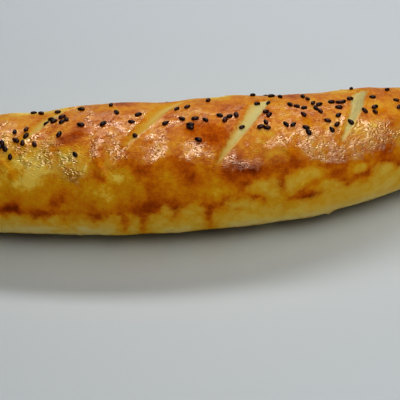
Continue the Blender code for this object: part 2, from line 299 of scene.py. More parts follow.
RUN_NARROWS_FROM = 0.3
RUN_NARROWING = 0.45
RUN_WAVINESS = 0.6
LEAST_RUN_ANGLE = 40  # keeps each run on its own side of the roll

# Spots that the brush missed: place, angle, half length, half width.
MISSED = [
    (0.0345, -71, 0.0064, 0.0034),
    (0.0388, -79, 0.0032, 0.0056),
    (0.0235, -84, 0.0056, 0.0026),
    (0.0545, -65, 0.0068, 0.0036),
    (0.0480, -72, 0.0040, 0.0056),
    (0.0660, -82, 0.0056, 0.0028),
    (0.0800, -69, 0.0026, 0.0026),
    (0.0930, -79, 0.0056, 0.0046),
    (0.0010, -87, 0.0055, 0.0024),
    (-0.0100, -87, 0.0022, 0.0030),
    (0.1180, -74, 0.0070, 0.0050),
    (-0.1160, -76, 0.0060, 0.0040),
    (-0.0600, 72, 0.0080, 0.0045),
    (0.0050, 76, 0.0060, 0.0040),
    (0.0420, 70, 0.0070, 0.0050),
    (0.1060, 74, 0.0060, 0.0045),
]
MISSED_WAVINESS = 1.3

# Where the glaze baked darker or stayed lighter than the rest: place, angle, half length, half width, and
# how much darker.
TOASTED = [
    (-0.052, -16, 0.0070, 0.0040, 0.42),
    (-0.039, -55, 0.0040, 0.0030, 0.40),
    (-0.083, -83, 0.0045, 0.0030, 0.50),
    (-0.072, -87, 0.0060, 0.0022, 0.56),
    (-0.041, -88, 0.0060, 0.0030, 0.50),
    (-0.020, -86, 0.0060, 0.0045, 0.42),
    (-0.021, -45, 0.0050, 0.0070, 0.22),
    (-0.017, -70, 0.0080, 0.0080, 0.25),
    (-0.006, -82, 0.0026, 0.0045, 0.26),
    (0.001, -57, 0.0060, 0.0070, 0.35),
    (0.010, -92, 0.0040, 0.0060, 0.20),
    (0.014, -18, 0.0090, 0.0080, 0.34),
    (0.022, -44, 0.0050, 0.0040, 0.30),
    (0.028, -54, 0.0090, 0.0050, 0.46),
    (0.022, -68, 0.0060, 0.0070, 0.28),
    (0.031, -79, 0.0042, 0.0024, 0.24),
    (0.043, -68, 0.0034, 0.0080, 0.30),
    (0.050, -56, 0.0060, 0.0040, 0.26),
    (0.056, -85, 0.0075, 0.0036, 0.26),
    (0.067, -66, 0.0070, 0.0070, 0.22),
    (0.082, -76, 0.0060, 0.0034, 0.34),
    (0.087, -58, 0.0045, 0.0060, 0.20),
    (0.096, -58, 0.0045, 0.0070, 0.20),
    (0.095, -43, 0.0045, 0.0036, 0.12),
    (-0.056, -75, 0.0040, 0.0050, 0.28),
    (-0.062, -78, 0.0030, 0.0040, 0.28),
    (-0.032, 2, 0.0060, 0.0060, 0.16),
    (0.026, 8, 0.0090, 0.0060, 0.20),
    (-0.072, 30, 0.0200, 0.0060, -0.44),
    (0.022, 30, 0.0120, 0.0050, -0.32),
    (0.048, 20, 0.0050, 0.0060, -0.10),
    (0.072, -98, 0.0200, 0.0100, 0.26),
    (0.104, -96, 0.0160, 0.0140, 0.24),
    (-0.062, -101, 0.0300, 0.0070, -0.22),
    (-0.053, -87, 0.0060, 0.0030, 0.34),
    (-0.070, -36, 0.0080, 0.0070, -0.42),
    (-0.067, -42, 0.0050, 0.0060, -0.16),
    (-0.078, -34, 0.0140, 0.0080, -0.16),
    (-0.053, -46, 0.0080, 0.0080, -0.18),
    (-0.083, -4, 0.0080, 0.0120, -0.12),
    (-0.056, -35, 0.0070, 0.0080, -0.18),
    (-0.081, -20, 0.0060, 0.0060, -0.20),
    (-0.071, -56, 0.0070, 0.0070, -0.44),
    (-0.069, -72, 0.0075, 0.0060, -0.04),
    (-0.084, -55, 0.0060, 0.0100, -0.22),
    (-0.031, -54, 0.0050, 0.0034, -0.40),
    (-0.038, -71, 0.0090, 0.0060, -0.26),
    (-0.026, -64, 0.0070, 0.0060, -0.16),
    (-0.057, -80, 0.0035, 0.0030, -0.26),
    (-0.047, -34, 0.0040, 0.0080, -0.18),
    (0.012, -68, 0.0070, 0.0060, -0.12),
    (0.035, -32, 0.0060, 0.0050, -0.12),
    (0.085, -30, 0.0100, 0.0070, -0.22),
    (0.078, -82, 0.0040, 0.0030, -0.20),
    (0.100, -8, 0.0080, 0.0060, -0.12),
]
PLAIN_BAKE = 0.41
TOP_BAKE = 0.09
BAKE_MOTTLE = 0.10
BAKE_WARP = 0.0022
# More such patches at random on the far side, and all over the tips, which the list leaves out.
SCATTERED_TOASTS = 46
SCATTERED_TOAST_SEED = 5
TOAST_PLACES = 0.150
TIPS_FROM = 0.105
FAR_SIDE = (18, 92)
BOTH_SIDES = (-92, 92)
TOAST_SIZES = (0.003, 0.009)
TOAST_ROUNDNESS = (0.6, 1.1)
TOAST_STRENGTHS = (-0.35, 0.45)

# Sesame seeds that show from the front: millimetres along X, degrees round the roll, heading in degrees.
SEEDS = [
    (-86.8, -20, 110), (-85.8, -17, 105), (-84.2, -23, 115), (-81.2, -32, 95), (-80.9, -5, 95),
    (-79.5, -15, 150), (-76.0, -18, 95), (-75.5, -3, 75), (-75.3, -9, 70), (-75.2, 25, 25),
    (-71.2, 22, 135), (-70.2, -20, 110), (-66.2, 2, 5), (-64.7, 8, 150), (-62.7, 3, 30),
    (-62.5, 20, 25), (-58.9, 7, 30), (-58.6, -12, 70), (-58.3, 1, 40), (-56.5, 3, 115),
    (-50.3, 17, 155), (-50.3, -33, 125), (-48.9, -4, 160), (-38.0, -4, 45), (-35.4, 21, 80),
    (-32.2, 7, 120), (-24.6, -3, 170), (-22.7, -17, 120), (-21.4, 4, 25), (-8.2, -6, 30),
    (-2.2, 9, 40), (-0.3, -3, 145), (3.1, 10, 30), (3.2, -13, 160), (3.4, -10, 175),
    (6.1, -4, 10), (6.4, -25, 155), (10.8, -6, 140), (14.3, 19, 65), (18.1, -2, 160),
    (20.4, -6, 60), (23.0, -3, 20), (26.3, -2, 90), (27.8, -14, 25), (36.5, -17, 5),
    (38.7, 10, 20), (39.1, 29, 40), (39.2, -19, 170), (39.3, -13, 105), (41.0, -2, 15),
    (42.2, -5, 45), (44.9, 10, 65), (48.5, -17, 115), (48.9, 26, 10), (51.9, -18, 25),
    (53.0, 22, 105), (54.9, 4, 115), (57.5, -22, 155), (57.7, 1, 145), (58.1, -27, 105),
    (58.9, -8, 115), (60.9, -1, 0), (64.3, 16, 90), (65.6, 10, 105), (66.5, -2, 90),
    (66.9, 3, 40), (67.9, -6, 110), (69.4, -17, 155), (69.6, 1, 15), (69.8, -27, 115),
    (73.4, -22, 30), (76.3, -12, 25), (76.9, 3, 0), (78.8, -3, 170), (80.7, 2, 160),
    (81.0, -21, 115), (83.0, 2, 15), (87.9, 5, 5), (90.5, -11, 120), (95.2, -15, 110),
    (96.0, 30, 60), (96.9, -9, 10), (100.1, 3, 155), (109.1, -14, 35), (111.0, -4, 155),
]
# The rest fell at random in pinches: place along X, angle, spread along X, spread in degrees, count.
PINCHES = [
    (-0.140, 2, 0.005, 11, 3),
    (-0.124, -4, 0.006, 13, 7),
    (-0.108, -8, 0.005, 11, 8),
    (-0.107, 12, 0.004, 9, 5),
    (0.120, -8, 0.004, 9, 5),
    (0.131, 2, 0.005, 11, 6),
    (0.143, 3, 0.003, 10, 2),
    (-0.045, 56, 0.025, 5, 4),
    (0.020, 56, 0.025, 5, 4),
    (0.080, 58, 0.018, 5, 4),
]
SEED_LENGTH = 0.0036
SEED_WIDTH = 0.0025
SEED_HEIGHT = 0.0019
SEED_SIZE_RANGE = 0.12
SEED_SUNK = 0.33
SEED_POINT = 0.27
PINCH_SEED = 27
COLLAR_HEIGHT = 0.00028  # the egg climbed a little up each seed
COLLAR_WIDTH = 0.0014
COLLAR_SPREAD = 1.7
COLLAR_SHINE = 0.62


def smooth_step(low, high, value):
    share = np.clip((value - low) / (high - low), 0.0, 1.0)
    return share * share * (3.0 - 2.0 * share)


def signed_power(value, power):
    return np.sign(value) * np.abs(value) ** power


def smooth_roll(x, angle):
    """Points of the roll without its relief, at places x along it and angles in radians round it."""
    u = np.clip(x / (LENGTH / 2), -1.0, 1.0)
    taper = (1 - np.abs(u) ** END_POWER) ** (1 / END_ROOT)
    foot = (1 - np.abs(u) ** FOOT_POWER) ** (1 / FOOT_ROOT)
    middle = -BOW * (1 - u**2) * (1 + BOW_LEAN * u)
    slope = BOW * (2 * u * (1 + BOW_LEAN * u) - BOW_LEAN * (1 - u**2)) / (LENGTH / 2)
    sideways = RADIUS * taper * signed_power(np.sin(angle), 2 / TOP_SQUARENESS)
    above = np.maximum(np.cos(angle), 0.0) ** (2 / TOP_SQUARENESS)
    below = np.maximum(-np.cos(angle), 0.0) ** (2 / FOOT_SQUARENESS)
    belly = BELLY * HEIGHT
    normal_length = np.sqrt(1 + slope**2)
    return np.stack(
        [
            u * LENGTH / 2 - slope / normal_length * sideways,
            middle + sideways / normal_length,
            belly + (HEIGHT - belly) * taper * above - belly * foot * below,
        ],
        axis=-1,
    )


def outward(x, angle):
    """Unit vectors that point out of the smooth roll."""
    step, turn, shortest = 1e-4 * LENGTH, 3e-3, 1e-12
    along = smooth_roll(x + step, angle) - smooth_roll(x - step, angle)
    round_it = smooth_roll(x, angle + turn) - smooth_roll(x, angle - turn)
    normal = np.cross(along, round_it)
    return normal / np.maximum(np.linalg.norm(normal, axis=-1, keepdims=True), shortest)


def slant(crest, angle):
    """How far a line on the slashes' slant has moved along X, at this angle, since it crossed the crest."""
    fade = 1 - (crest / (LENGTH / 2)) ** 4
    easing = 1 - SLANT_EASING * smooth_step(SLANT_EASES_FROM, SLANT_EASES_TO, np.abs(angle))
    return SLASH_SLANT * fade * np.sin(angle) * easing


def opening(slash, angle):
    """Half the opening of a slash along X at this angle, and 0 beyond its ends."""
    near, far, half, widest = slash[1:5]
    share = np.clip((np.degrees(angle) - near) / (far - near), 0.0, 1.0)
    rise = np.minimum(share / widest, 1.0) ** NEAR_POINTEDNESS
    fall = np.minimum((1 - share) / (1 - widest), 1.0) ** FAR_POINTEDNESS
    return half * rise * fall


def slash_relief(x, angle):
    """The floor of a slash slopes down from its near edge and ends under the curl of its far edge."""
    height = np.zeros_like(x)
    for slash in SLASHES:
        crest, half = slash[0], slash[3]
        gap = opening(slash, angle)
        across = (x - crest - slant(crest, angle)) / np.maximum(gap, LEAST_GAP)
        strength = np.clip(gap / half, 0.0, 1.0) ** SLASH_SHALLOWING
        floor = np.maximum(1 - across**2, 0.0)
        far_lip = np.exp(-(((across - FAR_LIP_PLACE) / FAR_LIP_WIDTH) ** 2))
        near_lip = np.exp(-(((across - NEAR_LIP_PLACE) / NEAR_LIP_WIDTH) ** 2))
        height += strength * (FAR_LIP * far_lip + NEAR_LIP * near_lip - SLASH_DEPTH * floor)
    return height


def fold_relief(x, angle):
    """A low ridge with a crease beside it along each fold."""
    height = np.zeros_like(x)
    for start, end, bow, tall in FOLDS:
        ax, ay = start[0], math.radians(start[1]) * RADIUS
        bx, by = end[0], math.radians(end[1]) * RADIUS
        size = math.hypot(bx - ax, by - ay)
        tx, ty = (bx - ax) / size, (by - ay) / size
        along = ((x - ax) * tx + (angle * RADIUS - ay) * ty) / size
        sag = bow * 4 * along * (1 - along)
        across = (x - ax) * ty - (angle * RADIUS - ay) * tx - sag
        window = smooth_step(*FOLD_STARTS, along) * (1 - smooth_step(*FOLD_ENDS, along))
        ridge = np.exp(-((across / FOLD_WIDTH) ** 2))
        crease = np.exp(-((across / FOLD_WIDTH + CREASE_AWAY) ** 2))
        height += tall * window * (RIDGE_SHARE * ridge - CREASE_SHARE * crease)
    return height


def patches(x, angle, rows):
    """Sum of soft round patches: each row gives place, angle, half length, half width and strength."""
    total = np.zeros_like(x)
    for place, where, half_length, half_width, strength in rows:
        along = (x - place) / half_length
        across = (angle - math.radians(where)) * RADIUS / half_width
        total += strength * np.exp(-(along**2 + across**2))
    return total


def wander(points, size, octaves, offset=0.0):
    """Smooth random values between about -1 and 1 that change over this size."""
    shift = Vector((offset, -offset, 2 * offset))
    smoothness, finer_by = 0.9, 2.0
    places = (Vector(place) + shift for place in points / size)
    rough = (noise.fractal(place, smoothness, finer_by, octaves) for place in places)
    return np.fromiter(rough, float, len(points))


def relief(x, angle):
    """Height of the crust over the smooth roll."""
    u = np.abs(x) / (LENGTH / 2)
    top = np.sqrt(np.maximum(np.cos(angle), 0.0))
    level = x - SLASH_SLANT * np.sin(angle)
    height = -SWELL * top * np.cos(2 * math.pi * (level - SWELL_DIP) / SWELL_STEP)
    for wave, turns, phase, tall in WAVES:
        height += tall * np.sin(2 * math.pi * x / wave + turns * angle + phase)
    lower = PLEAT_ON_TOP + (1 - PLEAT_ON_TOP) * smooth_step(*PLEAT_LEVELS, -np.cos(angle))
    pleat = smooth_step(PLEAT_FROM, PLEAT_TO, u) * lower
    height += PLEAT_DEPTH * pleat * np.cos(PLEATS * angle + PLEAT_TWIST * x)
    height += patches(x, angle, RISES + DRIPS) + fold_relief(x, angle) + slash_relief(x, angle)
    return height * (1 - smooth_step(SMOOTH_TIP_FROM, 1.0, u))


def settled(points):
    """The points once the tray has pressed the underside flat, with the origin under the roll's middle."""
    points[..., 2] = np.maximum(points[..., 2] - BASE_SINK, 0.0)
    return points - np.array(OFF_CENTRE)


def crust(x, angle):
    """Points of the baked crust, without its fine crumpling."""
    return settled(smooth_roll(x, angle) + outward(x, angle) * relief(x, angle)[..., None])


def seed_places():
    """Place, angle, heading and size of every sesame seed, in the order in which they fell."""
    chance = random.Random(PINCH_SEED)
    places = []
    for along_mm, where, heading in SEEDS:
        size = 1 + chance.uniform(-SEED_SIZE_RANGE, SEED_SIZE_RANGE)
        places.append((along_mm / 1000, math.radians(where), math.radians(heading), size))
    for place, where, spread, turn, count in PINCHES:
        for _ in range(count):
            x = place + chance.gauss(0, spread)
            angle = math.radians(where + chance.gauss(0, turn))
            heading = chance.uniform(0, 2 * math.pi)
            size = 1 + chance.uniform(-SEED_SIZE_RANGE, SEED_SIZE_RANGE)
            places.append((x, angle, heading, size))
    return places


def roll_grid():
    """A ball of rings and columns, and the place and angle on the roll of each of its points."""
    ball = bmesh.new()
    bmesh.ops.create_uvsphere(ball, u_segments=AROUND, v_segments=RINGS + 1, radius=1.0)
    data = bpy.data.meshes.new("crust")
    ball.to_mesh(data)
    ball.free()
    spots = np.empty(len(data.vertices) * 3)
    data.vertices.foreach_get("co", spots)
    spots = spots.reshape(-1, 3)
    ring = np.rint(np.arccos(np.clip(-spots[:, 2], -1, 1)) / math.pi * (RINGS + 1)).astype(int)
    turn = np.rint(np.arctan2(spots[:, 1], spots[:, 0]) / (2 * math.pi) * AROUND) / AROUND
    angle = 2 * math.pi * turn - TOP_CROWDING * np.sin(2 * math.pi * turn)
    u = np.sin(np.linspace(-math.pi / 2, math.pi / 2, MEASURED_PLACES))
    taper = RADIUS * (1 - np.abs(u) ** END_POWER) ** (1 / END_ROOT)
    steps = np.hypot(np.diff(u) * LENGTH / 2, np.diff(taper))
    for slash in SLASHES:
        away = (u[:-1] * LENGTH / 2 - slash[0]) / (slash[3] + SLASH_MARGIN)
        steps *= 1 + SLASH_CROWDING * np.exp(-(away**4))
    skin = np.concatenate([[0], np.cumsum(steps)])
    place = np.interp(np.linspace(0, skin[-1], RINGS + 2), skin, u * LENGTH / 2)[ring]
    return data, place, place + slant(place, angle), angle


crust_data, crest_place, grid_x, grid_angle = roll_grid()
smooth_points = smooth_roll(grid_x, grid_angle)
normals = outward(grid_x, grid_angle)
height = relief(grid_x, grid_angle)

# Crumpled glaze: short ridges that cross each other where it is deep.
crumple_depth = np.clip(patches(grid_x, grid_angle, CRUMPLES), 0.0, 1.0)
patchiness = np.clip(wander(smooth_points, size=0.004, octaves=2, offset=3.1), -0.5, 0.5)
crumple_depth *= CRUMPLE_EVENNESS + CRUMPLE_PATCHINESS * patchiness
ridges = 1 - 2 * np.abs(wander(smooth_points, size=CRUMPLE_SIZE, octaves=2, offset=8.7))
ridges *= np.cos(grid_angle) > math.cos(math.radians(CRUMPLES_TO))
height += CRUMPLE_HEIGHT * (LEAST_CRUMPLING + crumple_depth) * ridges
height += UNEVENNESS * wander(smooth_points, size=0.006, octaves=3, offset=1.3)

# The egg pooled in a small collar round each seed, and stayed shiny there.
for seed_x, seed_angle, _, _ in seed_places():
    away = np.hypot(grid_x - seed_x, (grid_angle - seed_angle) * RADIUS) / COLLAR_WIDTH
    height += COLLAR_HEIGHT * np.exp(-(away**2))
    crumple_depth = np.maximum(crumple_depth, COLLAR_SHINE * np.exp(-((away / COLLAR_SPREAD) ** 2)))

points = settled(smooth_points + normals * height[:, None])
crust_data.vertices.foreach_set("co", points.ravel())

# How far inside the brushed edge each point lies, with the runs and without the missed spots.
degrees = np.degrees(grid_angle)
ragged = RAGGEDNESS * wander(smooth_points, size=0.009, octaves=3, offset=5.5)
near_line = np.interp(grid_x, *zip(*WASH_LINE))
far_line = np.interp(grid_x, *zip(*FAR_WASH_LINE))
inside_near_line = (degrees - near_line) * DEGREE + ragged
inside_far_line = (far_line - degrees) * DEGREE + FAR_RAGGEDNESS * ragged
washed = np.minimum(inside_near_line, inside_far_line)
over_tip_line = smooth_points[:, 2] - BELLY * HEIGHT - TIP_LINE_RISE + TIP_RAGGEDNESS * ragged
at_tip = smooth_step(TIP_LINE_FROM, TIP_LINE_TO, np.abs(grid_x))
washed += at_tip * (over_tip_line - washed)
for place, half_width, reach in RUNS:
    side = math.copysign(1.0, reach)
    below_top = (degrees * side - RUN_TOP) / (abs(reach) - RUN_TOP)
    narrowing = 1 - RUN_NARROWING * smooth_step(RUN_NARROWS_FROM, 1.0, below_top)
    inside = half_width * narrowing - np.abs(grid_x - place + RUN_WAVINESS * ragged)
    to_tip = (abs(reach) - degrees * side) * DEGREE
    inside = np.minimum(inside, to_tip)
    washed = np.where(degrees * side > LEAST_RUN_ANGLE, np.maximum(washed, inside), washed)
for place, where, half_length, half_width in MISSED:
    along = (grid_x - place + MISSED_WAVINESS * ragged) / half_length
    across = ((degrees - where) * DEGREE - ragged) / half_width
    outside = (np.hypot(along, across) - 1) * min(half_length, half_width)
    washed = np.minimum(washed, outside)

# How dark the glaze baked, from 0, pale gold, to 1, mahogany.
chance = random.Random(SCATTERED_TOAST_SEED)
scattered = []
for _ in range(SCATTERED_TOASTS):
    place = chance.uniform(-TOAST_PLACES, TOAST_PLACES)
    where = chance.uniform(*FAR_SIDE)
    if abs(place) > TIPS_FROM:
        where = chance.uniform(*BOTH_SIDES)
    size = chance.uniform(*TOAST_SIZES)
    width = size * chance.uniform(*TOAST_ROUNDNESS)
    scattered.append((place, where, size, width, chance.uniform(*TOAST_STRENGTHS)))
warp = BAKE_WARP * wander(smooth_points, size=0.010, octaves=2, offset=9.9)
bake = PLAIN_BAKE + TOP_BAKE * np.maximum(np.cos(grid_angle), 0) ** 3
bake += patches(grid_x + warp, grid_angle + warp / RADIUS, TOASTED + scattered)
bake += BAKE_MOTTLE * wander(smooth_points, size=0.012, octaves=3, offset=2.2)

# How far inside a slash each point lies, and how golden it baked there, with painted shade where that value
# is below 0. The near edge and the far end pass into the glaze little by little. The pairs are shares of the
# way from the near end to the far end.
NEAR_EDGE_CRISPNESS = 0.36
FAR_EDGE_SOFTENING = 0.5
FAR_EDGE_SOFTENS = (0.4, 0.8)
FAR_END_FADE = 0.0008
FAR_END_FADES = (0.85, 1.0)
NEAR_EDGE_GOLD = 0.5
NEAR_EDGE_GILDS = (0.1, -0.9)  # these two are half openings away from the slash's middle line
NEAR_END_GOLD = 0.5
NEAR_END_GILDS = (0.55, 0.1)
# A painted highlight in cream runs along the far lip of each slash, over its lower part, where the lip
# catches the light. Its colour is also that of the paler stretched dough there.
LIP_OUT = 0.0002
LIP_WIDTH = 0.0007
LIP_STARTS = (0.0, 0.08)
LIP_ENDS = (0.70, 0.35)
cut = np.full(len(grid_x), -1.0)
cut_gold_and_shade = np.zeros(len(grid_x))
lip_highlight = np.zeros(len(grid_x))
for slash in SLASHES:
    crest, near_end, far_end, _, _, floor_gold_and_shade = slash
    beyond = np.maximum(near_end - degrees, degrees - far_end)
    share = (degrees - near_end) / (far_end - near_end)
    gap = opening(slash, grid_angle)
    across = grid_x - crest - slant(crest, grid_angle)
    far_edge_crispness = 1 - FAR_EDGE_SOFTENING * smooth_step(*FAR_EDGE_SOFTENS, share)
    inside = (gap - np.abs(across)) * np.where(across < 0, NEAR_EDGE_CRISPNESS, far_edge_crispness)
    inside -= np.maximum(beyond, 0) * DEGREE + FAR_END_FADE * smooth_step(*FAR_END_FADES, share)
    near_edge = smooth_step(*NEAR_EDGE_GILDS, across / np.maximum(gap, LEAST_GAP))
    near_end_gold = NEAR_END_GOLD * smooth_step(*NEAR_END_GILDS, share)
    gold_and_shade = floor_gold_and_shade + NEAR_EDGE_GOLD * near_edge + near_end_gold
    cut_gold_and_shade = np.where(inside > cut, gold_and_shade, cut_gold_and_shade)
    cut = np.maximum(cut, inside)
    beside = (across - gap - LIP_OUT) / LIP_WIDTH
    lower = smooth_step(*LIP_STARTS, share) * smooth_step(*LIP_ENDS, share)
    lip_highlight = np.maximum(lip_highlight, np.exp(-(beside**2)) * lower)

# The hot tray browned the foot up to about this height.
FOOT_FROM = 0.0070
FOOT_TO = 0.0120
foot = 1 - smooth_step(FOOT_FROM, FOOT_TO, points[:, 2])

# Where the egg dried dull: some patches high up, and everywhere low on the sides.
dried_dull = np.clip(patches(grid_x + warp, grid_angle + warp / RADIUS, DULL), 0, 1)
low_down = smooth_step(DULL_FROM, DULL_TO, np.abs(degrees))

# What the materials read of each point.
MM = 1000.0
for name, values in {
    "washed_mm": washed * MM,
    "bake": bake,
    "cut_mm": cut * MM,
    "cut_gold_and_shade": cut_gold_and_shade,
    "lip_highlight": lip_highlight,
    "crumple": np.clip(crumple_depth, 0, 1),
    "dull": np.maximum(dried_dull, low_down),
    "foot": foot,
}.items():
    crust_data.attributes.new(name, "FLOAT", "POINT").data.foreach_set("value", values)
around = grid_angle * RADIUS
for name, along in (("skin", grid_x), ("slash_skin", crest_place)):
    flat = np.stack([along, around, np.zeros(len(along))], axis=1)
    crust_data.attributes.new(name, "FLOAT_VECTOR", "POINT").data.foreach_set("vector", flat.ravel())

crust_data.shade_smooth()
crust_piece = bpy.data.objects.new("crust", crust_data)
bpy.context.scene.collection.objects.link(crust_piece)

DOUGH = (0.88, 0.69, 0.210, 1)
DOUGH_SHADE = (0.85, 0.60, 0.110, 1)
DOUGH_PALE = (0.87, 0.785, 0.520, 1)
DOUGH_GOLD = (0.83, 0.50, 0.050, 1)
PLAIN_GOLD = 0.33  # where plain dough lies in the slash colours
# The slash colours run from a darker, greyer cream at 0, which paints shade on the slash floor set below
# plain dough, through plain dough to gold.
SLASH_COLOURS = [
    (0.00, (0.60, 0.530, 0.270, 1)),
    (PLAIN_GOLD, (0.80, 0.700, 0.360, 1)),
    (1.00, (0.76, 0.470, 0.090, 1)),
]
# Cream of the painted highlight along the far lip of each slash.
LIP_HIGHLIGHT_CREAM = (0.95, 0.72, 0.33, 1)
FOOT_BROWN = (0.27, 0.115, 0.020, 1)
GLAZE_COLOURS = [
    (0.00, (0.98, 0.740, 0.200, 1)),
    (0.22, (0.83, 0.490, 0.026, 1)),
    (0.45, (0.79, 0.350, 0.014, 1)),
    (0.66, (0.66, 0.215, 0.008, 1)),
    (0.84, (0.50, 0.132, 0.006, 1)),
    (1.00, (0.33, 0.075, 0.004, 1)),
]


def make(tree, kind, settings=None, **inputs):
    """A shader node. Each input is a socket to link from, or a value. An underscore stands for a space."""
    new = tree.nodes.new(kind)
    for key, value in (settings or {}).items():
        setattr(new, key, value)
    for key, value in inputs.items():
        name = int(key[1:]) if key[0] == "i" and key[1:].isdigit() else key.replace("_", " ")
        if isinstance(value, bpy.types.NodeSocket):
            tree.links.new(value, new.inputs[name])
        else:
            new.inputs[name].default_value = value
    return new


def maths(tree, operation, first, second=0.0, third=0.0):
    node = make(tree, "ShaderNodeMath", {"operation": operation}, i0=first, i1=second, i2=third)
    return node.outputs[0]


def stepped(tree, value, low, high, to_low=0.0, to_high=1.0):
    """The value, eased from to_low at low to to_high at high."""
    node = make(
        tree, "ShaderNodeMapRange", {"interpolation_type": "SMOOTHSTEP"},
        Value=value, From_Min=low, From_Max=high, To_Min=to_low, To_Max=to_high,
    )
    return node.outputs[0]


def mottle(tree, vector, scale, detail=2.0, roughness=0.5, kind="FBM"):
    """Noise, from 0 to 1, with about this many lumps for each unit of the vector."""
    node = make(
        tree, "ShaderNodeTexNoise", {"noise_type": kind},
        Vector=vector, Scale=scale, Detail=detail, Roughness=roughness,
    )
    return node.outputs[0]


def uneven(tree, vector, reach, scale, detail=2.0, roughness=0.5):
    """Noise from about -reach to reach."""
    spots = mottle(tree, vector, scale, detail, roughness)
    return maths(tree, "MULTIPLY_ADD", spots, 2 * reach, -reach)


def blended(tree, share, first, second):
    return make(tree, "ShaderNodeMix", {"data_type": "RGBA"}, i0=share, i6=first, i7=second).outputs[2]


def attribute(tree, name, output="Fac"):
    return make(tree, "ShaderNodeAttribute", {"attribute_name": name}).outputs[output]


def in_millimetres(tree, vector):
    return make(tree, "ShaderNodeVectorMath", {"operation": "SCALE"}, Vector=vector, Scale=MM).outputs[0]


def colour_ramp(tree, value, colours):
    """The colours, each at its position from 0 to 1, blended by the value."""
    ramp = make(tree, "ShaderNodeValToRGB", Fac=value)
    while len(ramp.color_ramp.elements) < len(colours):
        ramp.color_ramp.elements.new(0.5)
    for stop, (position, colour) in zip(ramp.color_ramp.elements, colours):
        stop.position, stop.color = position, colour
    return ramp.outputs[0]


def new_material(name):
    material = bpy.data.materials.new(name)
    material.use_nodes = True
    return material, material.node_tree, material.node_tree.nodes["Principled BSDF"]


# The colour, roughness and wrinkles of the whole crust, which its four finishes share. Crumpled is 1 for
# the glaze that wrinkled or crumpled as it dried, and 0 for the rest. Patterns are in millimetres.
tree = bpy.data.node_groups.new("baked_crust", "ShaderNodeTree")
GROUP_SOCKETS = {
    "Crumpled": ("INPUT", "NodeSocketFloat"),
    "Colour": ("OUTPUT", "NodeSocketColor"),
    "Roughness": ("OUTPUT", "NodeSocketFloat"),
    "Normal": ("OUTPUT", "NodeSocketVector"),
}
for name, (side, kind) in GROUP_SOCKETS.items():
    tree.interface.new_socket(name=name, in_out=side, socket_type=kind)
group_start = tree.nodes.new("NodeGroupInput")
group_end = tree.nodes.new("NodeGroupOutput")
skin = in_millimetres(tree, attribute(tree, "skin", "Vector"))
body = in_millimetres(tree, make(tree, "ShaderNodeTexCoord").outputs["Object"])
baked = attribute(tree, "bake")
crumple = attribute(tree, "crumple")
dulled = attribute(tree, "dull")

# Where the glaze is: millimetres inside the brushed edge.
ragged_edge = uneven(tree, body, reach=1.8, scale=0.30, detail=3.0, roughness=0.6)
torn_edge = uneven(tree, body, reach=0.9, scale=1.3)
inside = maths(tree, "ADD", attribute(tree, "washed_mm"), maths(tree, "ADD", ragged_edge, torn_edge))
is_washed = stepped(tree, inside, low=-1.9, high=2.1)
thinness = stepped(tree, inside, low=0.0, high=3.0, to_low=0.20, to_high=0.0)
pooled = stepped(tree, inside, low=0.6, high=3.8, to_low=1.0, to_high=0.0)
pooled = maths(tree, "MULTIPLY", pooled, is_washed)

# Its colour follows how dark it baked, with mottling at three scales, and is calmer where it is dull.
POOLED_DARKENING = 0.28
CRUMPLE_DARKENING = 0.05
CALMING = -0.40
broad = uneven(tree, body, reach=0.45, scale=0.13, detail=3.0, roughness=0.6)
middling = uneven(tree, body, reach=0.35, scale=0.45, detail=3.0, roughness=0.65)
fine = uneven(tree, body, reach=0.15, scale=1.8, roughness=0.6)
rim_spots = stepped(tree, mottle(tree, body, scale=0.12, detail=1.0), low=0.40, high=0.62)
rim = maths(tree, "MULTIPLY", pooled, maths(tree, "MULTIPLY", rim_spots, POOLED_DARKENING))
calm = maths(tree, "MULTIPLY_ADD", dulled, CALMING, 1.0)
middling = maths(tree, "MULTIPLY", middling, calm)
dark = maths(tree, "ADD", baked, maths(tree, "ADD", broad, middling))
dark = maths(tree, "ADD", dark, maths(tree, "MULTIPLY_ADD", fine, calm, rim))
dark = maths(tree, "SUBTRACT", dark, thinness)
dark = maths(tree, "MULTIPLY_ADD", crumple, CRUMPLE_DARKENING, dark)
glaze_colour = colour_ramp(tree, dark, GLAZE_COLOURS)

# Bare dough low on the sides, golden under thin egg and where the oven was hotter, and paler elsewhere.
dough_clouds = stepped(tree, mottle(tree, body, scale=0.22, detail=3.0, roughness=0.6), low=0.35, high=0.70)
dough_colour = blended(tree, dough_clouds, DOUGH, DOUGH_SHADE)
far_from_egg = stepped(tree, inside, low=-11.0, high=-4.0, to_low=0.40, to_high=0.0)
dough_colour = blended(tree, far_from_egg, dough_colour, DOUGH_PALE)
oven_pale = stepped(tree, baked, low=-0.06, high=0.40, to_low=1.0, to_high=0.0)
dough_colour = blended(tree, oven_pale, dough_colour, DOUGH_PALE)
oven_gold = stepped(tree, baked, low=0.46, high=0.90, to_low=0.0, to_high=0.85)
dough_colour = blended(tree, oven_gold, dough_colour, DOUGH_GOLD)
egg_clouds = stepped(tree, dough_clouds, low=0.0, high=1.0, to_low=0.5, to_high=1.0)
thin_egg = maths(tree, "MULTIPLY", stepped(tree, inside, low=-6.5, high=-0.4), egg_clouds)
dough_colour = blended(tree, thin_egg, dough_colour, DOUGH_GOLD)
skin_colour = blended(tree, is_washed, dough_colour, glaze_colour)
